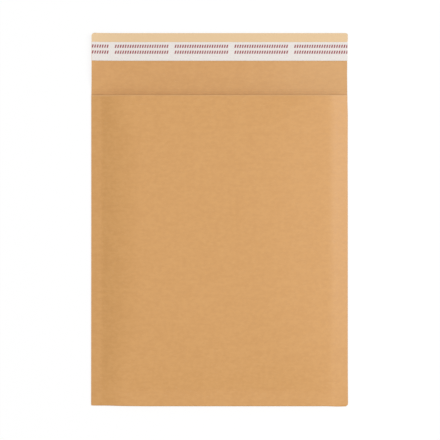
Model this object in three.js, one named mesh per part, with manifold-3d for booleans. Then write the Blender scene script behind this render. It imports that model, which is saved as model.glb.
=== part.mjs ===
// A padded envelope of kraft paper, empty, lying on its back with its flap open.
// Millimetres, +Z up. X runs across the envelope, and Y from the bottom fold to the tip of the flap.
// The origin is under the middle of the whole outline, on the surface that the envelope lies on.

import * as THREE from 'three';
import { mergeVertices } from 'three/addons/utils/BufferGeometryUtils.js';
import Module from 'manifold-3d';

const wasm = await Module();
wasm.setup();

// Outline
const WIDTH = 240; // across the two cut side edges
const BODY_LENGTH = 291; // from the bottom fold to the mouth
const FLAP_LENGTH = 59; // from the mouth to the tip of the flap
const FLAP_CORNER = 2; // radius of the flap's two corners
const BOTTOM_CORNER = 2.5; // radius of the two corners at the bottom fold

// Sheets and layers
const PAPER = 0.25; // kraft sheet
const PAD = 1.7; // one leaf of the lining, where it is full
const PAD_EDGE = 0.4; // one leaf of the lining, where the seams and the fold press it flat
const PAD_GIVE = 4; // power by which a leaf gives way where the envelope is pressed thin
const POCKET = 4.8; // clear height between the leaves of the lining, in the middle
const POCKET_EDGE = 0.5; // the same, at the sides and the bottom
const LINING_CLEARANCE = 0.3; // between the lining and the paper
const LINING_RECESS = 2; // from the mouth to the lining's edge

// Side seams
const LEFT_SEAM = 9.6; // width of the pressed seam on the left
const RIGHT_SEAM = 12.6; // and on the right
const SEAM_FILM = 0.3; // flattened film between the two leaves of paper in a seam
const SEAM_SETBACK = 0.3; // from the cut edge of the paper to that film
const LINING_SETBACK = 4; // from the inner edge of a seam to the lining's edge

// Swell of the padded body
const LEFT_SLOPE = 0.26; // rise for each millimetre at which the front leaves the left seam
const RIGHT_SLOPE = 0.13; // and the right seam
const BOTTOM_MARGIN = 15; // flat stretch above the bottom fold
const BOTTOM_RUN = 84; // over which the front rises above that stretch
const MOUTH_RUN = 50; // over which the front comes down again towards the mouth
const MOUTH_SHARE = 0.82; // of its full swell that the body has at the mouth
const BACK_RUN = 22; // over which the back comes down to the surface
const LEFT_LIFT = 1.6; // height of the back at the inner edge of the left seam
const RIGHT_LIFT = 2.8; // and of the right seam
const EDGE_LIFT = 0.5; // height of the back at the cut edges
const FOLD_LIFT = 0.8; // height of the back at the bottom fold

// Closure on the flap
const LIP = 8.3; // bare strip between the tip of the flap and the liner
const LINER_WIDTH = 17.6; // release liner, along the flap
const LINER_THICK = 0.1;
const GLUE_THICK = 0.15;
const LINER_MARGIN = 2.5; // the liner reaches this far past the glue, above and below
const SETTLE_MARGIN = 4; // flat stretch of the flap below the liner

// Places that follow from the sizes above
const LENGTH = BODY_LENGTH + FLAP_LENGTH;
const TIP = LENGTH / 2;
const BOTTOM = -LENGTH / 2;
const MOUTH = BOTTOM + BODY_LENGTH;
const LEFT = -WIDTH / 2;
const RIGHT = WIDTH / 2;
const SEAM_LEFT = LEFT + LEFT_SEAM;
const SEAM_RIGHT = RIGHT - RIGHT_SEAM;
const LINER_TOP = TIP - LIP;
const LINER_BOTTOM = LINER_TOP - LINER_WIDTH;
const FLAP_SETTLE = LINER_BOTTOM - MOUTH - SETTLE_MARGIN;
const SEAM_THICK = 2 * PAPER + SEAM_FILM;
const LAYER_DEPTH = PAPER + LINING_CLEARANCE;
const EDGE_THICK = 2 * (LAYER_DEPTH + PAD_EDGE) + POCKET_EDGE;
const FULL_THICK = 2 * (LAYER_DEPTH + PAD) + POCKET;
const RISE_START = BOTTOM + BOTTOM_MARGIN;
const RISE_END = RISE_START + BOTTOM_RUN;
const SIDES = [
  { line: SEAM_LEFT, inwards: 1, seam: LEFT_SEAM, lift: LEFT_LIFT, slope: LEFT_SLOPE },
  { line: SEAM_RIGHT, inwards: -1, seam: RIGHT_SEAM, lift: RIGHT_LIFT, slope: RIGHT_SLOPE },
];

/** A rise from 0 to 1 over a run, steepest at its start and level at its end. */
function crown(distance, run) {
  const left = 1 - THREE.MathUtils.clamp(distance / run, 0, 1);
  return 1 - left * left;
}

/** How much of its full swell the body has at a height along it, from 0 to 1. */
function swell(y) {
  const mouth = THREE.MathUtils.lerp(MOUTH_SHARE, 1, crown(MOUTH - y, MOUTH_RUN));
  return mouth * crown(y - RISE_START, BOTTOM_RUN);
}

/** How far a point lies inside a side seam. It is negative in the seam. */
function inside(side, x) {
  return side.inwards * (x - side.line);
}

/** Height of the back at the inner edge of a side seam. */
function seamLift(side, y) {
  return THREE.MathUtils.lerp(FOLD_LIFT, side.lift, swell(y));
}

/** Thickness of the envelope in the middle of its width. */
function middleThickness(y) {
  return THREE.MathUtils.lerp(EDGE_THICK, FULL_THICK, swell(y));
}

/** How far the front rises from a side seam to the middle, and over what run. */
function frontRise(side, y) {
  const rise = Math.max(middleThickness(y) - seamLift(side, y) - SEAM_THICK, 0);
  return { rise, run: Math.max((2 * rise) / side.slope, LINING_SETBACK) };
}

/** Thickness of the envelope where its padding is pressed flat, as it is along the bottom. */
function flatThickness(x) {
  const nearest = Math.min(...SIDES.map((side) => inside(side, x)));
  const share = THREE.MathUtils.clamp(nearest / LINING_SETBACK, 0, 1);
  return THREE.MathUtils.lerp(SEAM_THICK, EDGE_THICK, share);
}

/** Height of the back's outer face, with the seams held level. */
function levelBack(x, y) {
  const lifts = SIDES.map((side) => seamLift(side, y) * (1 - crown(inside(side, x), BACK_RUN)));
  return lifts[0] + lifts[1];
}

/** Height of the front's outer face, with the seams held level. */
function levelFront(x, y) {
  const drops = SIDES.map((side) => {
    const { rise, run } = frontRise(side, y);
    return rise * (1 - crown(inside(side, x), run));
  });
  return middleThickness(y) - drops[0] - drops[1];
}

/** Thickness of the envelope between its two outer faces. */
function thickness(x, y) {
  return Math.max(levelFront(x, y) - levelBack(x, y), flatThickness(x));
}

/** How far the seams slope down outwards at a point. */
function droop(x, y) {
  const drops = SIDES.map((side) => {
    const share = Math.max(-inside(side, x) / side.seam, 0);
    return (seamLift(side, y) - EDGE_LIFT) * share;
  });
  return drops[0] + drops[1];
}

/** Height of the back's outer face: on the surface in the middle, raised at the seams and the fold. */
function lift(x, y) {
  const across = crown(inside(SIDES[0], x), BACK_RUN) * crown(inside(SIDES[1], x), BACK_RUN);
  const fold = FOLD_LIFT * across * (1 - crown(y - BOTTOM, BACK_RUN));
  const settled = THREE.MathUtils.smoothstep(y, MOUTH, MOUTH + FLAP_SETTLE);
  return (levelBack(x, y) + fold - droop(x, y)) * (1 - settled);
}

/** How far a round corner draws in the side edge, at a distance from the end of the sheet. */
function cornerInset(distance, radius) {
  const short = Math.max(radius - distance, 0);
  return radius - Math.sqrt(radius * radius - short * short);
}

/** Values from one number to another, in equal steps, with both ends. */
function steps(from, to, count) {
  return Array.from({ length: count + 1 }, (_, i) => from + ((to - from) * i) / count);
}

/** Values that start close together, where a form is steep, and spread out. */
function easedSteps(from, to, count) {
  return steps(0, 1, count).map((t) => from + (to - from) * t * t);
}

/** The values in order, without any that all but repeats the one before it. */
function inOrder(values) {
  const sorted = values.toSorted((a, b) => a - b);
  return sorted.filter((value, i) => i === 0 || value - sorted[i - 1] > GRID_MERGE);
}

// Grid lines of the paper and the lining, shared so that the two stay parallel
const GRID_MERGE = 0.05; // grid lines this close are one
const RISE_STEPS = 9;
const MIDDLE_STEPS = 3;
const SEAM_STEPS = 3;
const CORNER_STEPS = 3;
const FOLD_STEPS = 6;
const FLAP_STEPS = 5;
const MOUTH_STEPS = 4;
const [LEFT_RUN, RIGHT_RUN] = SIDES.map((side) => frontRise(side, RISE_END).run);
const LINING_COLUMNS = inOrder([
  ...easedSteps(SEAM_LEFT + LINING_SETBACK, SEAM_LEFT + LEFT_RUN, RISE_STEPS),
  ...steps(SEAM_LEFT + LEFT_RUN, SEAM_RIGHT - RIGHT_RUN, MIDDLE_STEPS),
  ...easedSteps(SEAM_RIGHT - LINING_SETBACK, SEAM_RIGHT - RIGHT_RUN, RISE_STEPS),
]);
const PAPER_COLUMNS = inOrder([
  ...steps(LEFT, SEAM_LEFT, SEAM_STEPS),
  ...LINING_COLUMNS,
  ...steps(SEAM_RIGHT, RIGHT, SEAM_STEPS),
]);

const FOLD_RADIUS = EDGE_THICK / 2;
const LINING_MOUTH = MOUTH - LINING_RECESS;
const LINING_ROWS = inOrder([
  BOTTOM + FOLD_RADIUS,
  BOTTOM + BACK_RUN / 2,
  ...easedSteps(RISE_START, RISE_END, RISE_STEPS),
  BOTTOM + BACK_RUN,
  ...steps(RISE_END, MOUTH - MOUTH_RUN, MIDDLE_STEPS),
  ...easedSteps(LINING_MOUTH, MOUTH - MOUTH_RUN, MOUTH_STEPS),
]);
const FRONT_ROWS = inOrder([
  ...easedSteps(BOTTOM + FOLD_RADIUS, BOTTOM + FOLD_RADIUS + BOTTOM_CORNER, CORNER_STEPS),
  ...LINING_ROWS,
  MOUTH,
]);
const BACK_ROWS = inOrder([
  ...FRONT_ROWS,
  ...steps(MOUTH, MOUTH + FLAP_SETTLE, FLAP_STEPS),
  ...easedSteps(TIP, TIP - FLAP_CORNER, CORNER_STEPS),
]);
const FOLD_ANGLES = steps(-Math.PI / 2, Math.PI / 2, FOLD_STEPS).slice(1, -1);

/** The lines along the folded web: down the back, round the bottom fold and up the front. */
function foldedPath(backRows, frontRows) {
  return [
    ...backRows.toReversed().map((y) => ({ y, side: -1 })),
    ...FOLD_ANGLES.map((angle) => ({ y: BOTTOM, angle })),
    ...frontRows.map((y) => ({ y, side: 1 })),
  ];
}

/** A point of the folded web, at a depth inwards from the envelope's outer face. */
function webPoint(x, line, depth) {
  const bottom = lift(x, line.y);
  if (line.angle === undefined) {
    const z = line.side < 0 ? bottom + depth : bottom + thickness(x, line.y) - depth;
    return new THREE.Vector3(x, line.y, z);
  }
  const outer = thickness(x, BOTTOM) / 2;
  const radius = outer - depth;
  const y = BOTTOM + outer - radius * Math.cos(line.angle);
  return new THREE.Vector3(x, y, bottom + outer + radius * Math.sin(line.angle));
}

/** A closed sheet: a box with one cell for each pair of grid lines, each corner put in its place. */
function sheet(columns, lines, place) {
  const across = columns.length - 1;
  const along = lines.length - 1;
  const box = new THREE.BoxGeometry(1, 1, 1, across, along, 1);
  box.deleteAttribute('normal');
  box.deleteAttribute('uv');
  const geometry = mergeVertices(box);
  const corner = geometry.attributes.position;
  for (let i = 0; i < corner.count; i += 1) {
    const column = columns[Math.round((corner.getX(i) + 0.5) * across)];
    const line = lines[Math.round((corner.getY(i) + 0.5) * along)];
    const point = place(column, line, corner.getZ(i) > 0);
    corner.setXYZ(i, point.x, point.y, point.z);
  }
  return geometry;
}

/** The kraft sheet, folded but with its side seams still open. */
function foldedPaper() {
  return sheet(PAPER_COLUMNS, foldedPath(BACK_ROWS, FRONT_ROWS), (column, line, isOuter) => {
    const point = webPoint(column, line, isOuter ? 0 : PAPER);
    const inset = Math.max(
      cornerInset(TIP - point.y, FLAP_CORNER),
      cornerInset(point.y - BOTTOM, BOTTOM_CORNER),
    );
    point.x = THREE.MathUtils.clamp(point.x, LEFT + inset, RIGHT - inset);
    return point;
  });
}

/** The flattened film that bonds the two leaves of paper along one side, sunk half into each. */
function seamFilm(cutEdge, innerEdge) {
  const rows = FRONT_ROWS.map((y) => Math.min(y, MOUTH - SEAM_SETBACK));
  return sheet(inOrder(steps(cutEdge, innerEdge, SEAM_STEPS)), rows, (column, y, isTop) => {
    const inset = SEAM_SETBACK + cornerInset(y - BOTTOM, BOTTOM_CORNER);
    const x = THREE.MathUtils.clamp(column, LEFT + inset, RIGHT - inset);
    const depth = isTop ? thickness(column, y) - PAPER / 2 : PAPER / 2;
    return new THREE.Vector3(x, y, lift(column, y) + depth);
  });
}

/** A closed geometry as a solid that can be joined. */
function toSolid(geometry) {
  const mesh = new wasm.Mesh({
    numProp: 3,
    vertProperties: new Float32Array(geometry.attributes.position.array),
    triVerts: new Uint32Array(geometry.index.array),
  });
  return new wasm.Manifold(mesh);
}

/** A joined solid as a geometry. */
function toGeometry(solid) {
  const mesh = solid.getMesh();
  const geometry = new THREE.BufferGeometry();
  geometry.setAttribute('position', new THREE.BufferAttribute(mesh.vertProperties, 3));
  geometry.setIndex(new THREE.BufferAttribute(mesh.triVerts, 1));
  geometry.computeVertexNormals();
  return geometry;
}

/** The kraft sheet with its two side seams pressed shut. */
function envelopeGeometry() {
  const left = toSolid(seamFilm(LEFT, SEAM_LEFT));
  const right = toSolid(seamFilm(RIGHT, SEAM_RIGHT));
  return toGeometry(toSolid(foldedPaper()).add(left).add(right));
}

/** The folded web of bubble film, full in the middle and pressed thin at the sides and the fold. */
function liningGeometry() {
  const path = foldedPath(LINING_ROWS, LINING_ROWS);
  const geometry = sheet(LINING_COLUMNS, path, (column, line, isOuter) => {
    const full = (thickness(column, line.y) - EDGE_THICK) / (FULL_THICK - EDGE_THICK);
    const leaf = THREE.MathUtils.lerp(PAD_EDGE, PAD, full ** PAD_GIVE);
    return webPoint(column, line, isOuter ? LAYER_DEPTH : LAYER_DEPTH + leaf);
  });
  geometry.computeVertexNormals();
  return geometry;
}

/** A strip across the whole flap, between two heights along it, lying on what is below it. */
function flapStrip(name, material, low, high, base, thick) {
  const strip = new THREE.Mesh(new THREE.BoxGeometry(WIDTH, high - low, thick), material);
  strip.name = name;
  strip.position.set(0, (low + high) / 2, base + thick / 2);
  return strip;
}

const kraft = new THREE.MeshStandardMaterial({ color: 0xd7a46d, roughness: 0.85, metalness: 0 });
const film = new THREE.MeshStandardMaterial({ color: 0xe6e9ea, roughness: 0.3, metalness: 0 });
const glue = new THREE.MeshStandardMaterial({ color: 0xe0c68a, roughness: 0.25, metalness: 0 });
const liner = new THREE.MeshStandardMaterial({ color: 0xece6e1, roughness: 0.45, metalness: 0 });

const kraftEnvelope = new THREE.Mesh(envelopeGeometry(), kraft);
kraftEnvelope.name = 'kraft_envelope';

const bubbleLining = new THREE.Mesh(liningGeometry(), film);
bubbleLining.name = 'bubble_lining';

const glueLow = LINER_BOTTOM + LINER_MARGIN;
const glueHigh = LINER_TOP - LINER_MARGIN;
const adhesiveStrip = flapStrip('adhesive_strip', glue, glueLow, glueHigh, PAPER, GLUE_THICK);
const linerBase = PAPER + GLUE_THICK;
const releaseLiner = flapStrip('release_liner', liner, LINER_BOTTOM, LINER_TOP, linerBase, LINER_THICK);

const paddedEnvelope = new THREE.Group();
paddedEnvelope.add(kraftEnvelope, bubbleLining, adhesiveStrip, releaseLiner);

export default paddedEnvelope;
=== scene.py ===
"""A padded envelope of kraft paper, empty, lying on its back with its flap open.

Metres, +Z up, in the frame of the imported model. X runs across the envelope, and Y from the bottom
fold to the tip of the flap. Every layer follows one folded form: down the back from the tip of the
flap, round the bottom fold and up the front to the mouth.
"""

from __future__ import annotations

import logging
import math
from collections.abc import Callable, Iterable, Sequence
from dataclasses import dataclass, field
from enum import Enum

import bmesh
import bpy
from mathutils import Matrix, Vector, noise


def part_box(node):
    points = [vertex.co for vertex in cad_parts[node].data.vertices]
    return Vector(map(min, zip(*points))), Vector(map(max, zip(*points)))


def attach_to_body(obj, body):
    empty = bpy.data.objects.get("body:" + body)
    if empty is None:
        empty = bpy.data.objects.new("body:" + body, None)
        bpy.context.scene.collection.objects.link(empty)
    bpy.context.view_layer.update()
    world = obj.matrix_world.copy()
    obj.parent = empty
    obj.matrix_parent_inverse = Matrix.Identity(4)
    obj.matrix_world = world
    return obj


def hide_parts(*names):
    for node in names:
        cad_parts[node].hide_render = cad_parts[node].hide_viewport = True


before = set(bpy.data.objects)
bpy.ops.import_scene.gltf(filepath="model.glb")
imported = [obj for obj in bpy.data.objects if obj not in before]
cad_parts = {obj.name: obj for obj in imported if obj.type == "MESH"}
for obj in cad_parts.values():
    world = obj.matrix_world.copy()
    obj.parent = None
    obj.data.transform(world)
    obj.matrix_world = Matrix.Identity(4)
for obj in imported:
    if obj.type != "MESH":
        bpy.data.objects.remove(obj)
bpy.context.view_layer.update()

LOG = logging.getLogger("padded_envelope")
BODY = "root"
MM = 0.001
ROUNDING = 1e-9
SHARP_ANGLE = math.radians(50.0)
GRAIN_MIDDLE = 0.5

Colour = tuple[float, float, float, float]
Triple = tuple[float, float, float]
Pair = tuple[float, float]
Stops = tuple[Pair, ...]


def clamp(value: float) -> float:
    """The value, or the nearer of 0 and 1 where it lies outside them."""
    return min(max(value, 0.0), 1.0)


def crown(distance: float, run: float) -> float:
    """A rise from 0 to 1 over a run, steepest at its start and level at its end."""
    left = 1 - clamp(distance / run)
    return 1 - left * left


def smoothstep(value: float, low: float, high: float) -> float:
    """An even change from 0 to 1 as a value goes from low to high."""
    share = clamp((value - low) / (high - low))
    return share * share * (3 - 2 * share)


def mix(first: float, second: float, share: float) -> float:
    """The value at a share of the way from the first to the second."""
    return first + (second - first) * share


def between(value: float, stops: Stops) -> float:
    """A value read off a bent line.

    Args:
        value: The place along the line.
        stops: The line's corners in order, each a place and the value there.

    Returns:
        The value at that place, level beyond the two ends.
    """
    for (start, low), (end, high) in zip(stops, stops[1:]):
        if value < end:
            return mix(low, high, clamp((value - start) / (end - start)))
    return stops[-1][1]


def in_mm(*stops: Pair) -> Stops:
    """Turns stops that are written in millimetres into metres."""
    return tuple((place * MM, value * MM) for place, value in stops)


def lines(start: float, *spans: Pair) -> list[float]:
    """Grid lines along joined spans, each cut into equal steps.

    Args:
        start: Where the first span starts.
        spans: For each span its end and the largest step on it.

    Returns:
        The lines in order, with both ends of each span once.
    """
    found = [start]
    for end, step in spans:
        low = found[-1]
        count = max(math.ceil(abs(end - low) / step - ROUNDING), 1)
        found += [low + (end - low) * i / count for i in range(1, count + 1)]
    return found


class Leaf(Enum):
    """The part of the folded web that a line along it lies on."""

    BACK = "back"
    FOLD = "fold"
    FRONT = "front"


@dataclass(frozen=True)
class SideSeam:
    """A pressed side seam, and how the padded body swells beside it.

    Attributes:
        line: X of the inner edge of the seam.
        inwards: 1 where the body lies towards +X of the seam, and -1 on the other side.
        width: Width of the seam.
        lift: Height of the back at the inner edge, where the body is full.
        fold_lift: Its height there at the bottom fold.
        slope: Slope at which the front swells beside the seam.
        start: Share of that slope with which the front leaves the seam.
        ease: Length over which it comes to that slope.
        corner: Radius of the corner at the bottom fold.
        tip_corner: Radius of the corner at the tip of the flap.
        cut: How far the cut edge lies inside a straight one, by Y.
    """

    line: float
    inwards: int
    width: float
    lift: float
    fold_lift: float
    slope: float
    start: float
    ease: float
    corner: float
    tip_corner: float
    cut: Stops

    def inside(self, x: float) -> float:
        """How far a place lies inside the seam, negative in the seam itself."""
        return self.inwards * (x - self.line)

    def edge(self) -> float:
        """X of the cut edge of the seam."""
        return self.line - self.inwards * self.width


@dataclass(frozen=True)
class EnvelopeForm:
    """The folded form that every layer of the envelope follows.

    Attributes:
        bottom: Y of the bottom fold.
        mouth: Y of the front panel's upper edge.
        tip: Y of the tip of the flap.
        liner_low: Y of the liner's edge towards the mouth.
        liner_high: Y of the liner's edge towards the tip.
        full: Thickness of the envelope in its middle.
        left: The seam on the left.
        right: The seam on the right.
    """

    bottom: float
    mouth: float
    tip: float
    liner_low: float
    liner_high: float
    full: float
    left: SideSeam
    right: SideSeam

    # The layers, and the room that the padding has where it is pressed.
    paper: float = 0.25 * MM
    clearance: float = 0.3 * MM
    seam_film: float = 0.3 * MM
    pad: float = 2.0 * MM
    pad_edge: float = 0.4 * MM
    pad_least: float = 0.15 * MM
    pad_give: float = 0.5
    pocket_edge: float = 0.5 * MM
    setback: float = 4.0 * MM
    press_run: float = 9.0 * MM

    # The swell of the body, and how the back rises to the seams.
    bottom_margin: float = 15.0 * MM
    bottom_run: float = 84.0 * MM
    mouth_run: float = 60.0 * MM
    mouth_share: float = 0.35
    flank_run: float = 22.0 * MM
    back_run: float = 22.0 * MM
    edge_lift: float = 0.5 * MM

    # The mouth, which stands off its seams and is drawn back in its middle.
    gape: float = 0.4 * MM
    gape_run: float = 14.0 * MM
    gape_length: float = 2.5 * MM
    mouth_bow: float = 0.6 * MM
    mouth_bow_reach: float = 30.0 * MM

    # The bottom fold, and how far it lies inside a straight one, by X.
    fold_lift: float = 0.8 * MM
    fold_thick: float = 5.0 * MM
    fold_depth: float = 1.2 * MM
    fold_least: float = 0.05 * MM
    fold_cut: Stops = in_mm(
        (-116, 0.25), (-108, 0.4), (-102, 0.42), (-92, 0.22), (-70, 0),
        (100, 0), (110, -0.45), (118, -0.6),
    )
    fold_reach: float = 40.0 * MM
    corner_reach: float = 9.0 * MM

    # The open flap: where it settles, its arch, the curl of its left end at the mouth and how much
    # more it curls past it, and its two score lines.
    flap_settle: Pair = (-14.0 * MM, 5.0 * MM)
    flap_arch: float = 2.0 * MM
    flap_arch_run: float = 24.0 * MM
    flap_curls: Pair = (0.6 * MM, 1.4 * MM)
    flap_curl_run: float = 28.0 * MM
    score_places: Pair = (4.02 * MM, 5.88 * MM)
    score_depth: float = 0.1 * MM
    score_width: float = 0.7 * MM

    # Slow waves, and puckers beside the seams. A layer is a place in the noise.
    ripple: float = 0.22 * MM
    ripple_length: float = 55.0 * MM
    flap_layer: float = 200.0 * MM
    pucker: float = 0.10 * MM
    pucker_width: float = 80.0 * MM
    pucker_length: float = 19.0 * MM
    pucker_run: float = 16.0 * MM
    pucker_layer: float = 3.7

    @classmethod
    def from_frame(cls) -> EnvelopeForm:
        """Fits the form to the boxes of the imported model's nodes.

        Returns:
            The form, drawn in a little at its ends, because raised parts look larger from above.
        """
        paper_low, paper_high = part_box("kraft_envelope")
        lining_low, lining_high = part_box("bubble_lining")
        liner_low, liner_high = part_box("release_liner")
        seam_left = lining_low.x - cls.setback
        seam_right = lining_high.x + cls.setback
        lining_recess = 1.78 * MM
        fold_inset = 0.83 * MM
        tip_inset = 0.74 * MM
        liner_drops = (0.72 * MM, 0.92 * MM)
        left = SideSeam(
            line=seam_left, inwards=1, width=seam_left - paper_low.x,
            lift=1.8 * MM, fold_lift=1.7 * MM, slope=0.36, start=0.55, ease=2.4 * MM,
            corner=0.9 * MM, tip_corner=3.0 * MM,
            cut=in_mm((-175, -0.08), (0, 0.08), (116, 0.08), (120, 0.18), (127, 0.42),
                      (135, 0.63), (165, 0.73), (175, 0.53)),
        )
        right = SideSeam(
            line=seam_right, inwards=-1, width=paper_high.x - seam_right,
            lift=3.4 * MM, fold_lift=2.6 * MM, slope=0.125, start=1.7, ease=7.0 * MM,
            corner=3.0 * MM, tip_corner=2.0 * MM,
            cut=in_mm((-175, -0.25), (-140, 0), (20, 0), (50, 0.12), (98, 0), (107, 0.28),
                      (121, 0.4), (136, 0.78), (147, 0.69), (165.5, 0.69), (167, 0.14)),
        )
        return cls(
            bottom=paper_low.y + fold_inset,
            mouth=lining_high.y + lining_recess,
            tip=paper_high.y - tip_inset,
            liner_low=liner_low.y - liner_drops[0],
            liner_high=liner_high.y - liner_drops[1],
            full=paper_high.z,
            left=left,
            right=right,
        )

    @property
    def seams(self) -> tuple[SideSeam, SideSeam]:
        """Both side seams."""
        return self.left, self.right

    @property
    def layer_depth(self) -> float:
        """Depth of the lining under the outer face of the paper."""
        return self.paper + self.clearance

    @property
    def seam_thick(self) -> float:
        """Thickness of a pressed seam."""
        return 2 * self.paper + self.seam_film

    @property
    def edge_thick(self) -> float:
        """Thickness of the envelope where its padding is pressed flat."""
        return 2 * (self.layer_depth + self.pad_edge) + self.pocket_edge

    @property
    def back_length(self) -> float:
        """Length of the web from the tip of the flap to the bottom fold."""
        return self.tip - self.bottom - self.fold_depth

    @property
    def fold_length(self) -> float:
        """Length of the web round the bottom fold."""
        return math.pi * self.fold_depth

    @property
    def web_length(self) -> float:
        """Length of the whole web, from the tip of the flap to the mouth."""
        return self.back_length + self.fold_length + self.mouth - self.bottom - self.fold_depth

    def from_seams(self, x: float) -> float:
        """How far a place lies inside the nearer seam, negative in the seam itself."""
        return min(seam.inside(x) for seam in self.seams)

    def off_seams(self, x: float) -> float:
        """How far the back is clear of both seams at a place across it, from 0 to 1."""
        return math.prod(crown(seam.inside(x), self.back_run) for seam in self.seams)

    def rise(self, y: float) -> float:
        """How far the body has risen from its flat bottom margin, from 0 to 1."""
        return crown(y - self.bottom - self.bottom_margin, self.bottom_run)

    def swell(self, y: float) -> float:
        """How much of its full swell the body has at a height along it, from 0 to 1."""
        return self.rise(y) * mix(self.mouth_share, 1, crown(self.mouth - y, self.mouth_run))

    def seam_lift(self, seam: SideSeam, y: float) -> float:
        """Height of the back at the inner edge of a seam."""
        return mix(seam.fold_lift, seam.lift, self.rise(y))

    def middle_thickness(self, y: float) -> float:
        """Thickness of the envelope in the middle of its width."""
        return mix(self.fold_thick, self.full, self.swell(y))

    def front_drop(self, seam: SideSeam, x: float, y: float) -> float:
        """How far the front lies below its middle because of a seam.

        Args:
            seam: The seam that holds it down.
            x: Place across the envelope.
            y: Place along it.

        Returns:
            The drop there.
        """
        rise = max(self.middle_thickness(y) - self.seam_lift(seam, y) - self.seam_thick, 0.0)
        run = max(2 * rise / seam.slope, self.flank_run)
        inside = max(seam.inside(x), 0.0)
        held = (1 - seam.start) * seam.ease * (1 - math.exp(-inside / seam.ease))
        return rise * (1 - crown(inside - held, run))

    def level_back(self, x: float, y: float) -> float:
        """Height of the back's outer face with the seams held level."""
        places = ((self.seam_lift(seam, y), seam.inside(x)) for seam in self.seams)
        return sum(lift * (1 - crown(inside, self.back_run)) for lift, inside in places)

    def thickness(self, x: float, y: float) -> float:
        """Thickness of the envelope between its two outer faces.

        Args:
            x: Place across the envelope.
            y: Place along it.

        Returns:
            The thickness, never less than that of the layers pressed flat.
        """
        share = clamp(self.from_seams(x) / self.press_run)
        flat = mix(self.seam_thick, self.edge_thick, share)
        drop = sum(self.front_drop(seam, x, y) for seam in self.seams)
        return max(self.middle_thickness(y) - drop - self.level_back(x, y), flat)

    def front_wave(self, x: float, y: float) -> float:
        """Slight unevenness of the front panel: slow waves, and puckers beside the seams.

        Args:
            x: Place across the envelope.
            y: Place along it.

        Returns:
            The height to add to the front panel.
        """
        waved = noise.noise(Vector((x, y, 0.0)) / self.ripple_length)
        slow = waved * self.ripple * self.off_seams(x) * self.rise(y)
        beside = max(self.from_seams(x), 0.0) / self.pucker_run
        place = Vector((x / self.pucker_width, y / self.pucker_length, self.pucker_layer))
        puckered = noise.noise(place) * self.pucker * self.swell(y)
        return slow + puckered * beside * math.exp(1 - beside)

    def mouth_gape(self, x: float, y: float) -> float:
        """How far the front stands off its seams at the mouth, where they end."""
        beside = 1 - smoothstep(self.from_seams(x), 0.0, self.gape_run)
        return self.gape * beside * math.exp((y - self.mouth) / self.gape_length)

    def mouth_reach(self, point: Vector) -> float:
        """How much further the front reaches at its low ends, past its swollen middle."""
        low = 1 - min(point.z / self.middle_thickness(self.mouth), 1.0)
        return self.mouth_bow * low * max(1 - (self.mouth - point.y) / self.mouth_bow_reach, 0.0)

    def score_ridge(self, y: float) -> float:
        """Height of the two score lines that are pressed up across the flap above the mouth."""
        steps = ((y - self.mouth - place) * 2 / self.score_width for place in self.score_places)
        return self.score_depth * sum(math.exp(-step * step) for step in steps)

    def curl_share(self, x: float) -> float:
        """How far the left end of the flap is curled up at a place across it, from 0 to 1."""
        return 1 - crown(x - self.left.edge(), self.flap_curl_run)

    def flap_wave(self, x: float, y: float) -> float:
        """How far the open flap arches and curls up past the mouth, with its slow waves.

        Args:
            x: Place across the envelope.
            y: Place along it.

        Returns:
            The height to add to the back, which is nothing below the mouth.
        """
        arch = smoothstep(y, self.mouth, self.mouth + self.flap_arch_run)
        raised = self.flap_arch + self.flap_curls[1] * self.curl_share(x)
        waved = noise.noise(Vector((x, y, self.flap_layer)) / self.ripple_length)
        flat = smoothstep(y, self.mouth, self.liner_low)
        return raised * arch + self.ripple * flat * (1 + waved) / 2

    def body_back(self, x: float, y: float) -> float:
        """Height of the outer face of the back panel, as if the seams went on past the mouth.

        Args:
            x: Place across the envelope.
            y: Place along it.

        Returns:
            The height above the surface that the envelope lies on.
        """
        fold = self.fold_lift * self.off_seams(x) * (1 - crown(y - self.bottom, self.back_run))
        droop = sum(
            (self.seam_lift(seam, y) - self.edge_lift) * max(-seam.inside(x) / seam.width, 0.0)
            for seam in self.seams
        )
        return self.level_back(x, y) + fold - droop

    def back(self, x: float, y: float) -> float:
        """Height of the outer face of the back panel and the flap.

        Args:
            x: Place across the envelope.
            y: Place along it.

        Returns:
            The height above the surface that the envelope lies on.
        """
        start, end = self.flap_settle
        settled = smoothstep(y, self.mouth + start, self.mouth + end)
        level = self.flap_curls[0] * self.curl_share(x)
        return mix(self.body_back(x, y), level, settled) + self.flap_wave(x, y)

    def front(self, x: float, y: float) -> float:
        """Height of the outer face of the front panel."""
        return self.body_back(x, y) + self.thickness(x, y) + self.front_wave(x, y)

    def along(self, distance: float) -> tuple[Leaf, float]:
        """Where a line of the web lies, by its distance from the tip of the flap.

        Args:
            distance: Distance along the web.

        Returns:
            The leaf, and the line's Y on it, or its angle on the fold.
        """
        if distance <= self.back_length:
            return Leaf.BACK, self.tip - distance
        past = distance - self.back_length
        if past < self.fold_length:
            return Leaf.FOLD, past / self.fold_depth - math.pi / 2
        return Leaf.FRONT, self.bottom + self.fold_depth + past - self.fold_length

    def point(self, x: float, distance: float, depth: float) -> Vector:
        """A point of the folded web.

        Args:
            x: Place across the envelope.
            distance: Distance along the web from the tip of the flap.
            depth: Depth under the outer face of the paper.

        Returns:
            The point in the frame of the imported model.
        """
        leaf, value = self.along(distance)
        if leaf is Leaf.BACK:
            return Vector((x, value, self.back(x, value) + depth))
        if leaf is Leaf.FRONT:
            return Vector((x, value, self.front(x, value) - depth))
        half = self.thickness(x, self.bottom) / 2
        reach = min(self.fold_depth, half)
        y = self.bottom + reach - max(reach - depth, self.fold_least) * math.cos(value)
        middle = self.body_back(x, self.bottom) + half
        return Vector((x, y, middle + max(half - depth, self.fold_least) * math.sin(value)))

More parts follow.
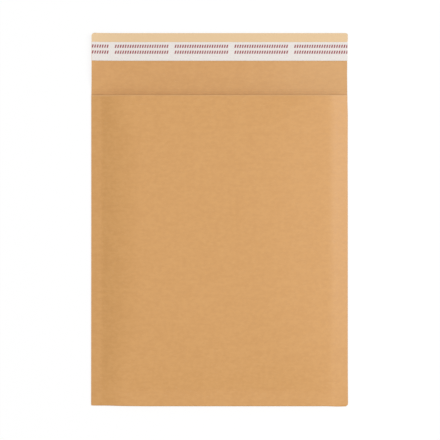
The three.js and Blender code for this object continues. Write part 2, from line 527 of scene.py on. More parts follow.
    def pad_thickness(self, x: float, distance: float) -> float:
        """Thickness of one leaf of the lining at a place on the web.

        Args:
            x: Place across the envelope.
            distance: Distance along the web from the tip of the flap.

        Returns:
            The thickness of the leaf there.
        """
        leaf, value = self.along(distance)
        whole = self.thickness(x, self.bottom if leaf is Leaf.FOLD else value)
        share = clamp((whole - self.edge_thick) / (self.full - self.edge_thick))
        pressed = max((whole - 2 * self.layer_depth) / 2 - self.pad_least, self.pad_least)
        return min(mix(self.pad_edge, self.pad, share ** self.pad_give), pressed)

    def trim(self, point: Vector) -> Vector:
        """A point of the sheet, moved to where its edges and corners are really cut and folded.

        Args:
            point: The point on a sheet with straight edges and square corners.

        Returns:
            The point on the real sheet.
        """
        x, y = point.x, point.y
        for seam in self.seams:
            inset = between(y, seam.cut)
            corners = ((self.tip - y, seam.tip_corner), (y - self.bottom, seam.corner))
            for distance, radius in corners:
                short = min(max(radius - distance, 0.0), radius)
                inset += radius - math.sqrt(radius * radius - short * short)
            share = max(1 - seam.inwards * (x - seam.edge()) / self.corner_reach, 0.0)
            point.x += seam.inwards * inset * share
        point.y += between(x, self.fold_cut) * max(1 - (y - self.bottom) / self.fold_reach, 0.0)
        return point


class Socket:
    """A value in a shader graph, which Python's operators can work on."""

    def __init__(self, graph: ShaderGraph, source: bpy.types.NodeSocket) -> None:
        """Wraps the output of a node."""
        self.graph = graph
        self.source = source

    def __add__(self, other: Value) -> Socket:
        """This value plus another."""
        return self.graph.math("ADD", self, other)

    def __radd__(self, other: Value) -> Socket:
        """Another value plus this one."""
        return self.graph.math("ADD", other, self)

    def __sub__(self, other: Value) -> Socket:
        """This value less another."""
        return self.graph.math("SUBTRACT", self, other)

    def __rsub__(self, other: Value) -> Socket:
        """Another value less this one."""
        return self.graph.math("SUBTRACT", other, self)

    def __mul__(self, other: Value) -> Socket:
        """This value times another."""
        return self.graph.math("MULTIPLY", self, other)

    def __rmul__(self, other: Value) -> Socket:
        """Another value times this one."""
        return self.graph.math("MULTIPLY", other, self)

    def __mod__(self, other: Value) -> Socket:
        """What is left of this value in whole steps of another, never negative."""
        return self.graph.math("FLOORED_MODULO", self, other)

    def __rmod__(self, other: Value) -> Socket:
        """What is left of another value in whole steps of this one, never negative."""
        return self.graph.math("FLOORED_MODULO", other, self)

    def __abs__(self) -> Socket:
        """The size of this value without its sign."""
        return self.graph.math("ABSOLUTE", self)

    def ramp(self, low: float, high: float) -> Socket:
        """An even change from 0 to 1 as this value goes from low to high.

        Args:
            low: The value at which the change starts.
            high: The value at which the change ends, which may be the lower one.

        Returns:
            The share of the change.
        """
        inputs = {"Value": self, "From Min": low, "From Max": high}
        return self.graph.node("ShaderNodeMapRange", {"interpolation_type": "SMOOTHSTEP"}, inputs)


Value = Socket | float


def weighted(values: Iterable[Socket], shares: Iterable[float]) -> Socket:
    """Values added up, each times its share."""
    return sum(value * share for value, share in zip(values, shares))


class ShaderGraph:
    """The node graph of one material or of the world."""

    def __init__(self, owner: bpy.types.Material | bpy.types.World) -> None:
        """Starts an empty graph.

        Args:
            owner: The material or the world that the graph is for.
        """
        owner.use_nodes = True
        self.owner = owner
        self.tree = owner.node_tree
        self.tree.nodes.clear()

    def node(
        self,
        kind: str,
        settings: dict[str, object] | None = None,
        inputs: dict[str | int, object] | None = None,
        output: str | int = 0,
    ) -> Socket | None:
        """Adds any node.

        Args:
            kind: Blender's name for the type of node.
            settings: Properties of the node, which are set first.
            inputs: A value or a link for each socket that is not left as it is.
            output: The output that is wanted.

        Returns:
            That output, or nothing for a node that ends the graph.
        """
        made = self.tree.nodes.new(kind)
        for name, value in (settings or {}).items():
            setattr(made, name, value)
        for name, value in (inputs or {}).items():
            if isinstance(value, Socket):
                self.tree.links.new(value.source, made.inputs[name])
            else:
                made.inputs[name].default_value = value
        return Socket(self, made.outputs[output]) if made.outputs else None

    def math(self, operation: str, *values: Value) -> Socket:
        """A Math node on one or two values."""
        return self.node("ShaderNodeMath", {"operation": operation}, dict(enumerate(values)))

    def blend(self, share: Value, first: Socket | Colour, second: Socket | Colour) -> Socket:
        """A colour between two others.

        Args:
            share: The share of the second colour.
            first: The colour at a share of 0.
            second: The colour at a share of 1.

        Returns:
            The blended colour.
        """
        colour_first, colour_second, colour_result = 6, 7, 2
        inputs = {0: share, colour_first: first, colour_second: second}
        return self.node("ShaderNodeMix", {"data_type": "RGBA"}, inputs, colour_result)

    def place(self) -> Socket:
        """Place on the piece, in metres."""
        return self.node("ShaderNodeTexCoord", output="Object")

    def outputs(self, first: Socket, *names: str) -> list[Socket]:
        """The named outputs of the node that an output belongs to."""
        return [Socket(self, first.source.node.outputs[name]) for name in names]

    def axes(self, place: Socket) -> list[Socket]:
        """The three numbers of a place."""
        return self.outputs(self.node("ShaderNodeSeparateXYZ", inputs={0: place}), "X", "Y", "Z")

    def grain(self, place: Socket, size: Triple, turn: float = 0.0, detail: float = 2.0) -> Socket:
        """Soft random grain.

        Args:
            place: Place on the piece.
            size: Length of the grain along each axis, in metres.
            turn: Angle about Z by which the grain is turned, in radians.
            detail: How many finer layers the grain has.

        Returns:
            A value round the middle of the grain.
        """
        turned = self.node(
            "ShaderNodeMapping", {"vector_type": "TEXTURE"},
            {"Vector": place, "Rotation": (0.0, 0.0, turn), "Scale": size},
        )
        inputs = {"Vector": turned, "Scale": 1.0, "Detail": detail}
        return self.node("ShaderNodeTexNoise", inputs=inputs)

    def bump(self, height: Socket, distance: float) -> Socket:
        """A Bump node for heights from 0 to 1 that stand for a distance in metres."""
        inputs = {"Height": height, "Strength": 1.0, "Distance": distance}
        return self.node("ShaderNodeBump", inputs=inputs)

    def surface(self, inputs: dict[str | int, object]) -> None:
        """Ends the graph in a Principled shader with these inputs."""
        shader = self.node("ShaderNodeBsdfPrincipled", inputs=inputs)
        self.node("ShaderNodeOutputMaterial", inputs={"Surface": shader})


class PaperFace(Enum):
    """The two faces of the kraft sheet."""

    OUTER = "outer"
    INNER = "inner"


@dataclass(frozen=True)
class KraftPaper:
    """Brown machine-finished kraft paper: cloudy pulp, fibres mostly across, pressed seams.

    Attributes:
        face: The face of the sheet. Only the inner one has the pale strip along the flap's tip.
        form: The form that says where the seams and the flap's strip are.
    """

    face: PaperFace
    form: EnvelopeForm

    # Colours of the pulp on each face, of pale and brown fibres, and of the flap's pale strip. The
    # pale colour also paints sheen and a highlight, and the brown also paints shade.
    light: Colour = (0.670, 0.346, 0.112, 1.0)
    dark: Colour = (0.628, 0.314, 0.096, 1.0)
    inner_light: Colour = (0.665, 0.344, 0.117, 1.0)
    inner_dark: Colour = (0.623, 0.312, 0.101, 1.0)
    pale: Colour = (0.780, 0.520, 0.270, 1.0)
    brown: Colour = (0.360, 0.165, 0.055, 1.0)
    lip: Colour = (0.797, 0.567, 0.323, 1.0)

    # The pulp: fine clouds, a slow drift and streaks across.
    cloud: Triple = (3.8 * MM, 3.0 * MM, 3.0 * MM)
    cloud_detail: float = 4.0
    drift: Triple = (12.0 * MM, 9.0 * MM, 9.0 * MM)
    streak: Triple = (8.5 * MM, 2.3 * MM, 6.0 * MM)
    pulp_shares: Triple = (0.5, 0.25, 0.25)
    pulp_band: Pair = (0.36, 0.64)

    # The fibres: two lays of pale ones and one of brown ones.
    fibre_size: Triple = (3.2 * MM, 0.28 * MM, 3.0 * MM)
    fibre_turns: Triple = (0.04, -0.50, 0.42)
    fibre_bands: Stops = ((0.60, 0.74), (0.63, 0.76), (0.66, 0.78))
    fibre_shares: Triple = (0.30, 0.22, 0.30)

    # Marks on the inner face: painted sheen towards the right end, the strip, painted shade along
    # the score lines, and painted shadow along the mouth.
    painted_sheen_tone: float = 0.16
    painted_sheen_run: Pair = (0.0, 114.0 * MM)
    lip_fade: Pair = (2.0 * MM, 1.0 * MM)
    lip_cover: Pair = (0.86, 0.28)
    score_shade_tones: Pair = (0.10, 0.06)
    mouth_shadow_tone: float = 0.10
    seam_mouth_shadow_tones: Pair = (0.28, 0.12)
    mouth_shadow_run: Pair = (1.0 * MM, 2.6 * MM)

    # A painted highlight along the front panel's edge at the mouth, the gloss, and the relief of
    # the clouds and the pale fibres.
    mouth_highlight_tone: float = 0.30
    edge_width: float = 1.1 * MM
    roughness: float = 0.52
    roughness_spread: float = 0.18
    pressed_roughness: float = 0.42
    relief: float = 0.035 * MM
    relief_shares: Triple = (0.6, 0.3, 0.3)

    def in_seams(self, across: Socket) -> list[Socket]:
        """For each side seam, 1 in it and 0 on the body."""
        starts = ((seam.line, seam.inwards * seam.ease) for seam in self.form.seams)
        return [across.ramp(line + ease, line) for line, ease in starts]

    def mark_inner(
        self, graph: ShaderGraph, colour: Socket, place: Socket, cloud: Socket
    ) -> Socket:
        """Adds what only the inner face shows, most of it on the flap.

        Args:
            graph: The graph of the material.
            colour: The colour of the bare paper.
            place: Place on the sheet.
            cloud: The cloudiness of the pulp, from 0 to 1.

        Returns:
            The colour with painted sheen towards the right end, the pale strip, painted shade along
            the score lines and painted shadow along the mouth.
        """
        across, along, _ = graph.axes(place)
        # Painted sheen: the face grows paler towards the right, where the lamp's sheen falls.
        colour = graph.blend(across.ramp(*self.painted_sheen_run) * self.painted_sheen_tone, colour, self.pale)
        start, end = (self.form.liner_high - distance for distance in self.lip_fade)
        least, gain = self.lip_cover
        colour = graph.blend(along.ramp(start, end) * (least + gain * cloud), colour, self.lip)
        # Painted shade along the two score lines.
        for distance, tone in zip(self.form.score_places, self.score_shade_tones):
            from_line = abs(along - (self.form.mouth + distance))
            line = from_line.ramp(self.form.score_width, 0.0) * tone
            colour = graph.blend(line, colour, self.brown)
        # Painted shadow of the front panel's edge, cast on the flap along the mouth and deeper over
        # the seams.
        full, end = self.mouth_shadow_run
        crease = (along - self.form.mouth).ramp(end, full)
        tone = weighted(self.in_seams(across), self.seam_mouth_shadow_tones) + self.mouth_shadow_tone
        return graph.blend(crease * tone, colour, self.brown)

    def material(self) -> bpy.types.Material:
        """Makes the material for this face of the sheet.

        Returns:
            The material.
        """
        graph = ShaderGraph(bpy.data.materials.new(f"kraft_{self.face.value}"))
        place = graph.place()
        across, along, _ = graph.axes(place)
        inner = self.face is PaperFace.INNER
        fine = graph.grain(place, self.cloud, detail=self.cloud_detail)
        pulp = (fine, graph.grain(place, self.drift), graph.grain(place, self.streak))
        cloud = weighted(pulp, self.pulp_shares)
        lays = [graph.grain(place, self.fibre_size, turn) for turn in self.fibre_turns]
        fibres = zip(lays, self.fibre_bands, self.fibre_shares)
        pale, pale_turned, brown = (lay.ramp(*band) * share for lay, band, share in fibres)
        tones = (self.inner_dark, self.inner_light) if inner else (self.dark, self.light)
        colour = graph.blend(cloud.ramp(*self.pulp_band), *tones)
        colour = graph.blend(pale + pale_turned, colour, self.pale)
        colour = graph.blend(brown, colour, self.brown)
        mouth = self.form.mouth
        if inner:
            colour = self.mark_inner(graph, colour, place, cloud)
        else:
            # Painted highlight where the front panel's edge at the mouth catches the light.
            mouth_highlight = along.ramp(mouth - self.edge_width, mouth) * self.mouth_highlight_tone
            colour = graph.blend(mouth_highlight, colour, self.pale)
        pressed = sum(self.in_seams(across)) * along.ramp(mouth + self.edge_width, mouth)
        roughness = self.roughness + (fine - GRAIN_MIDDLE) * self.roughness_spread
        height = weighted((fine, *lays[:-1]), self.relief_shares)
        graph.surface({
            "Base Color": colour,
            "Roughness": roughness - pressed * (self.roughness - self.pressed_roughness),
            "Normal": graph.bump(height, self.relief),
        })
        return graph.owner


@dataclass(frozen=True)
class GrainedFinish:
    """A finish with one grain in its colour, its gloss and its surface.

    Attributes:
        name: Name of the material.
        dark: Colour where the grain is low.
        light: Colour where the grain is high.
        size: Length of the grain along each axis.
        roughness: Roughness where the grain is 0, and how much more it has where the grain is 1.
        relief: Height of the grain.
        detail: How many finer layers the grain has.
    """

    name: str
    dark: Colour
    light: Colour
    size: Triple
    roughness: Pair
    relief: float
    detail: float = 3.0

    def material(self) -> bpy.types.Material:
        """Makes the material.

        Returns:
            The material.
        """
        graph = ShaderGraph(bpy.data.materials.new(self.name))
        grain = graph.grain(graph.place(), self.size, detail=self.detail)
        least, gain = self.roughness
        graph.surface({
            "Base Color": graph.blend(grain, self.dark, self.light),
            "Roughness": least + grain * gain,
            "Normal": graph.bump(grain, self.relief),
        })
        return graph.owner


# The cut edge of the kraft sheet, where its raw pulp shows.
CUT_EDGE = GrainedFinish(
    "kraft_cut_edge", dark=(0.560, 0.300, 0.110, 1.0), light=(0.700, 0.430, 0.200, 1.0),
    size=(0.5 * MM, 0.5 * MM, 0.1 * MM), roughness=(0.65, 0.20), relief=0.05 * MM,
)
# The flattened film in the side seams, seen only at the cut edges.
PRESSED_FILM = GrainedFinish(
    "pressed_film", dark=(0.600, 0.540, 0.440, 1.0), light=(0.760, 0.740, 0.690, 1.0),
    size=(1.0 * MM, 6.0 * MM, 0.3 * MM), roughness=(0.28, 0.20), relief=0.06 * MM,
)
# Clear amber glue, pulled into fine lines along the strip.
HOT_MELT_GLUE = GrainedFinish(
    "hot_melt_glue", dark=(0.620, 0.420, 0.150, 1.0), light=(0.760, 0.600, 0.300, 1.0),
    size=(30.0 * MM, 0.8 * MM, 1.0 * MM), roughness=(0.16, 0.14), relief=0.08 * MM,
)


@dataclass(frozen=True)
class BubbleFilm:
    """Milky bubble film: clear and kraft-tinted where it is flat, whiter on the bubbles.

    Attributes:
        attribute: Name of the mesh attribute that says how high a point is on its bubble.
    """

    attribute: str = "bubble"

    # Colours of the flat film and of the bubbles, and how height and creases turn it milky.
    flat: Colour = (0.690, 0.580, 0.440, 1.0)
    milky: Colour = (0.870, 0.880, 0.875, 1.0)
    milky_band: Pair = (0.0, 0.8)
    milky_shares: Pair = (0.75, 0.25)

    # The fine creases, the least roughness and its gain in a crease, and the coat.
    crease: Triple = (5.0 * MM, 5.0 * MM, 5.0 * MM)
    crease_detail: float = 5.0
    relief: float = 0.25 * MM
    roughness: Pair = (0.14, 0.16)
    coat: float = 0.8
    coat_roughness: float = 0.08

    def material(self) -> bpy.types.Material:
        """Makes the material, which reads how high a point is on its bubble.

        Returns:
            The material.
        """
        graph = ShaderGraph(bpy.data.materials.new("bubble_film"))
        rise = graph.node("ShaderNodeAttribute", {"attribute_name": self.attribute}, output="Fac")
        creases = graph.grain(graph.place(), self.crease, detail=self.crease_detail)
        share = weighted((rise.ramp(*self.milky_band), creases), self.milky_shares)
        least, gain = self.roughness
        graph.surface({
            "Base Color": graph.blend(share, self.flat, self.milky),
            "Roughness": least + creases * gain,
            "Normal": graph.bump(creases, self.relief),
            "Coat Weight": self.coat,
            "Coat Roughness": self.coat_roughness,
        })
        return graph.owner


@dataclass(frozen=True)
class ReleasePaper:
    """White coated release paper with two rows of plain red strokes in groups.

    Attributes:
        form: The form that says where the strip lies.
    """

    form: EnvelopeForm

    # Colours of the paper, of its thin places and of the ink, and the ink's least cover and gain.
    white: Colour = (0.818, 0.777, 0.741, 1.0)
    shade: Colour = (0.788, 0.744, 0.706, 1.0)
    red: Colour = (0.275, 0.016, 0.030, 1.0)
    ink: Pair = (0.80, 0.3)

    # The rows, by the distance of their middles below the tip of the flap, and their strokes.
    rows: Pair = (12.40 * MM, 17.93 * MM)
    row_height: float = 3.1 * MM
    group_start: float = -97.55 * MM
    group_length: float = 50.6 * MM
    group_pitch: float = 55.85 * MM
    stroke_width: float = 1.4 * MM
    stroke_pitch: float = 2.3 * MM
    slant: float = 0.25
    soft: float = 0.12 * MM

    # The pulp, with the middle of the roughness and its spread.
    pulp: Triple = (2.6 * MM, 1.6 * MM, 2.0 * MM)
    pulp_detail: float = 4.0
    pulp_band: Pair = (0.25, 0.75)
    roughness: Pair = (0.27, 0.2)
    relief: float = 0.015 * MM

    def below(self, value: Socket, limit: float) -> Socket:
        """1 where a value is below a limit, with a soft edge, and 0 above it."""
        return value.ramp(limit, limit - self.soft)

    def strokes(self, across: Socket, along: Socket) -> Socket:
        """The mask of the printed strokes.

        Args:
            across: Place across the flap.
            along: Place along it.

        Returns:
            1 in the ink and 0 outside it.
        """
        mask: Value = 0.0
        for row in self.rows:
            from_middle = along - (self.form.tip - row)
            leaned = (across - self.group_start - from_middle * self.slant) % self.group_pitch
            in_row = self.below(abs(from_middle), self.row_height / 2)
            in_group = self.below(leaned, self.group_length)
            in_stroke = self.below(leaned % self.stroke_pitch, self.stroke_width)
            mask = mask + in_row * in_group * in_stroke
        return mask

    def material(self) -> bpy.types.Material:
        """Makes the material.

        Returns:
            The material.
        """
        graph = ShaderGraph(bpy.data.materials.new("release_paper"))
        place = graph.place()
        across, along, _ = graph.axes(place)
        pulp = graph.grain(place, self.pulp, detail=self.pulp_detail)
        paper = graph.blend(pulp.ramp(*self.pulp_band), self.shade, self.white)
        least, gain = self.ink
        ink = self.strokes(across, along) * (least + gain * pulp)
        middle, spread = self.roughness
        graph.surface({
            "Base Color": graph.blend(ink, paper, self.red),
            "Roughness": middle + (pulp - GRAIN_MIDDLE) * spread,
            "Normal": graph.bump(pulp, self.relief),
        })
        return graph.owner


def sheet_mesh(
    columns: Sequence[float], rows: Sequence[float], place: Callable[[float, float], Vector]
) -> bmesh.types.BMesh:
    """A grid with a line of points for each column and row, each point put in its place.

    Args:
        columns: Places across the sheet.
        rows: Places along the sheet.
        place: Gives the point for a column and a row.

    Returns:
        The mesh of the sheet, without thickness.
    """
    half = 0.5
    bm = bmesh.new()
    across, along = len(columns) - 1, len(rows) - 1
    bmesh.ops.create_grid(bm, x_segments=across, y_segments=along, size=half)
    for vert in bm.verts:
        column = columns[round((vert.co.x + half) * across)]
        row = rows[round((vert.co.y + half) * along)]
        vert.co = place(column, row)
    return bm


def make_piece(
    name: str, bm: bmesh.types.BMesh, materials: Iterable[bpy.types.Material]
) -> bpy.types.Object:
    """Makes an object of a mesh, and leaves it at the origin.

    Args:
        name: Name of the piece.
        bm: Its mesh, which is freed.
        materials: Its materials, in the order of their slots.

    Returns:
        The object.
    """
    mesh = bpy.data.meshes.new(name)
    bm.to_mesh(mesh)
    bm.free()
    for material in materials:
        mesh.materials.append(material)
    piece = bpy.data.objects.new(name, mesh)
    bpy.context.scene.collection.objects.link(piece)
    return piece


def thicken(
    piece: bpy.types.Object, thickness: float, inner_slot: int = 0, rim_slot: int = 0
) -> None:
    """Gives a sheet its thickness, on the side that its faces point away from.

    Args:
        piece: The sheet.
        thickness: Its thickness.
        inner_slot: Material slot of the new face.
        rim_slot: Material slot of the cut edges.
    """
    solidify = piece.modifiers.new("thickness", "SOLIDIFY")
    solidify.thickness = thickness
    solidify.offset = -1.0
    solidify.material_offset = inner_slot
    solidify.material_offset_rim = rim_slot
    graph = bpy.context.evaluated_depsgraph_get()
    mesh = bpy.data.meshes.new_from_object(piece.evaluated_get(graph))
    piece.modifiers.clear()
    thin = piece.data
    piece.data = mesh
    mesh.name = thin.name
    bpy.data.meshes.remove(thin)
    mesh.shade_smooth()
    mesh.set_sharp_from_angle(angle=SHARP_ANGLE)


def attach(piece: bpy.types.Object, slot: str, *nodes: str) -> bpy.types.Object:
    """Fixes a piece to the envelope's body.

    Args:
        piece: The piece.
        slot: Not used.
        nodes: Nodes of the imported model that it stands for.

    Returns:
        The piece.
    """
    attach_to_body(piece, BODY)
    if nodes:
        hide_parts(*nodes)
    LOG.info("%s: %d faces", piece.name, len(piece.data.polygons))
    return piece


@dataclass
class KraftEnvelope:
    """The sheet of kraft paper, folded at the bottom, and the film in its two side seams.

    Attributes:
        form: The form that the sheet follows.
    """

    form: EnvelopeForm

    # Zones of close lines at a side edge and on both sides of a seam's inner edge, and the steps
    # at the edge, in the seam, at its inner edge and on the body.
    edge_zone: float = 2.0 * MM
    line_zone: Pair = (1.0 * MM, 6.0 * MM)
    column_steps: tuple[float, ...] = (0.5 * MM, 2.0 * MM, 0.7 * MM, 2.8 * MM)

    # The film lies inside the paper's edges and is pressed into the paper. Its steps are those
    # across it, along its lower end and along the rest.
    film_setback: float = 0.35 * MM
    film_sink: float = 0.03 * MM
    film_low: float = 30.0 * MM
    film_steps: Triple = (1.4 * MM, 2.0 * MM, 4.0 * MM)

    def columns(self) -> list[float]:
        """Lines across the sheet, close together at the seams.

        Returns:
            X of each line.
        """
        outside, inside = self.line_zone
        near, far = (
            (
                seam.edge(),
                seam.edge() + seam.inwards * self.edge_zone,
                seam.line - seam.inwards * outside,
                seam.line + seam.inwards * inside,
            )
            for seam in self.form.seams
        )
        start, *ends = *near, *reversed(far)
        steps = (*self.column_steps, *reversed(self.column_steps[:-1]))
        return lines(start, *zip(ends, steps))

    def rows(self) -> list[float]:
        """Lines along the sheet, close together at folds and edges.

        Returns:
            Their distances along the web from the tip of the flap.
        """
        form = self.form
        mouth, fold = form.tip - form.mouth, form.back_length
        front, end = fold + form.fold_length, form.web_length
        crisp_zone, crisp_step = 2.4 * MM, 0.4 * MM
        fold_steps = 10
        return lines(
            0.0,
            (crisp_zone, crisp_step),
            (mouth - 8 * MM, 2.6 * MM),
            (mouth - 2 * MM, 0.3 * MM),
            (mouth + 6 * MM, 1.0 * MM),
            (fold - 22 * MM, 3.2 * MM),
            (fold - crisp_zone, 1.6 * MM),
            (fold, crisp_step),
            (front, form.fold_length / fold_steps),
            (front + crisp_zone, crisp_step),
            (front + 20 * MM, 1.2 * MM),
            (end - 6 * MM, 2.6 * MM),
            (end, 0.6 * MM),
        )

    def paper_point(self, x: float, distance: float) -> Vector:
        """A point of the sheet's outer face, with its cut edges, score lines and open mouth.

        Args:
            x: Place across the sheet.
            distance: Distance along the web from the tip of the flap.

        Returns:
            The point.
        """
        form = self.form
        point = form.trim(form.point(x, distance, 0.0))
        if distance < form.tip - form.mouth:
            point.z += form.score_ridge(point.y)
        if form.along(distance)[0] is Leaf.FRONT:
            reach = form.mouth_reach(point)
            point.z += form.mouth_gape(x, point.y)
            point.y += reach
        return point

    def build_paper(self) -> bpy.types.Object:
        """Builds the folded sheet.

        Returns:
            The piece.
        """
        faces = [KraftPaper(face, self.form).material() for face in PaperFace]
        bm = sheet_mesh(self.columns(), self.rows(), self.paper_point)
        paper = make_piece("kraft_sheet", bm, [*faces, CUT_EDGE.material()])
        thicken(paper, self.form.paper, inner_slot=1, rim_slot=2)
        return attach(paper, "kraft", "kraft_envelope")

    def build_film(self, seam: SideSeam, name: str) -> bpy.types.Object:
        """Builds the flattened film in one seam.

        Args:
            seam: The seam.
            name: The side that it is on.

        Returns:
            The piece.
        """
        form = self.form
        across, close, wide = self.film_steps
        start, end = sorted((seam.edge() + seam.inwards * self.film_setback, seam.line))
        low, high = form.bottom + seam.corner, form.mouth - self.film_setback
        rows = lines(low, (low + self.film_low, close), (high, wide))
        thickness = form.seam_film + 2 * self.film_sink

        def top(x: float, y: float) -> Vector:
            """A point of the film's upper face."""
            return Vector((x, y, form.back(x, y) + form.paper - self.film_sink + thickness))

        bm = sheet_mesh(lines(start, (end, across)), rows, top)
        film = make_piece(f"seam_film_{name}", bm, [PRESSED_FILM.material()])
        thicken(film, thickness)
        return attach(film, "film")

    def build(self) -> None:
        """Builds the paper, and the film in each seam."""
        self.build_paper()
        for seam, name in zip(self.form.seams, ("left", "right")):
            self.build_film(seam, name)


@dataclass
class BubbleLining:
    """The folded web of bubble film inside the paper, with its bubbles towards the pocket.

    Attributes:
        form: The form that the web follows.
        fill: Not used.
        finish: Its finish.
    """

    form: EnvelopeForm
    fill: float = 0.45
    finish: BubbleFilm = field(default_factory=BubbleFilm)

    # The web: its film, its bare ends inside the mouth, and the distance at which points merge.
    film: float = 0.12 * MM
    mouth_gap: float = 0.7 * MM
    border: float = 0.8 * MM
    merge: float = 0.01 * MM

    # The bubbles: about how far apart, their share of that, and the rings of one, each a share of
    # its radius and of its height. A ring starts as a small inset.
    pitch: float = 12.5 * MM
    bubble_share: float = 0.83
    sides: int = 12
    inset: float = 0.1 * MM
    profile: Stops = ((1.0, 0.0), (0.88, 0.62), (0.52, 1.0))

    def make_cell(self, bm: bmesh.types.BMesh, pitch: float) -> None:
        """Makes one six-sided cell of film with a bubble of height 1 in it.

        Args:
            bm: The mesh to make it in.
            pitch: From bubble to bubble.
        """
        circle = bmesh.ops.create_circle(bm, cap_ends=True, radius=1.0, segments=self.sides)
        outline = circle["verts"]
        for i, vert in enumerate(outline):
            is_corner = i % 2 == 0
            vert.co *= pitch / math.sqrt(3) if is_corner else pitch / 2
        top = next(face for face in bm.faces if outline[0] in face.verts)
        radius = self.bubble_share * pitch / 2
        for reach, height in self.profile:
            bmesh.ops.inset_individual(bm, faces=[top], thickness=self.inset)
            for vert in top.verts:
                flat = Vector((vert.co.x, vert.co.y, 0.0)).normalized() * (reach * radius)
                vert.co = flat + Vector((0.0, 0.0, height))

    def repeat(self, bm: bmesh.types.BMesh, shifts: Iterable[Vector]) -> None:
        """Adds a moved copy of all that is in a mesh for each shift.

        Args:
            bm: The mesh.
            shifts: How far each copy is moved.
        """
        whole = [*bm.verts, *bm.edges, *bm.faces]
        for shift in shifts:
            copy = bmesh.ops.duplicate(bm, geom=whole)["geom"]
            points = [item for item in copy if isinstance(item, bmesh.types.BMVert)]
            bmesh.ops.translate(bm, vec=shift, verts=points)

    def make_web(self) -> bmesh.types.BMesh:
        """Makes the flat web of cells, trimmed to its outline, with bare film at each end.

        Returns:
            The web: X across, Y along the web from the tip of the flap, Z the height on a bubble.
        """
        low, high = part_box("bubble_lining")
        start = self.form.tip - self.form.mouth + self.mouth_gap
        end = self.form.web_length - self.mouth_gap
        row_share = math.sqrt(3) / 2
        room = end - start - 2 * self.border
        gaps = math.ceil((room / self.pitch - self.bubble_share) / row_share)
        pitch = room / (gaps * row_share + self.bubble_share)
        row_pitch = pitch * row_share
        first = start + self.border + self.bubble_share * pitch / 2
        last = first + gaps * row_pitch
        columns = math.ceil((high.x - low.x) / pitch) + 1
        bare_rows = 2
        rows = gaps + 1 + bare_rows
        bm = bmesh.new()
        self.make_cell(bm, pitch)
        bmesh.ops.translate(bm, vec=(low.x, first - row_pitch, 0.0), verts=bm.verts)
        self.repeat(bm, [Vector((pitch * i, 0, 0)) for i in range(1, columns)])
        self.repeat(bm, [Vector((-pitch / 2 * (i % 2), row_pitch * i, 0)) for i in range(1, rows)])
        bmesh.ops.remove_doubles(bm, verts=bm.verts, dist=self.merge)
        for vert in bm.verts:
            in_border = max(first - vert.co.y, vert.co.y - last) > row_pitch / 2
            vert.co.z *= 0.0 if in_border else 1.0
        for point, normal in (
            ((low.x, 0, 0), (-1, 0, 0)),
            ((high.x, 0, 0), (1, 0, 0)),
            ((0, start, 0), (0, -1, 0)),
            ((0, end, 0), (0, 1, 0)),
        ):
            bmesh.ops.bisect_plane(
                bm, geom=[*bm.verts, *bm.edges, *bm.faces], dist=self.merge,
                plane_co=point, plane_no=normal, clear_outer=True,
            )
        return bm

    def build(self) -> bpy.types.Object:
        """Builds the lining.

        Returns:
            The piece.
        """
        form = self.form
        bm = self.make_web()
        rise = bm.verts.layers.float.new(self.finish.attribute)
        for vert in bm.verts:
            x, distance, height = vert.co
            vert[rise] = height
            leaf = form.pad_thickness(x, distance) - self.film
            vert.co = form.point(x, distance, form.layer_depth + self.film + height * leaf)
        bmesh.ops.reverse_faces(bm, faces=bm.faces)
        lining = make_piece("bubble_web", bm, [self.finish.material()])
        thicken(lining, -self.film)
        attach(lining, "film", "bubble_lining")
        return lining


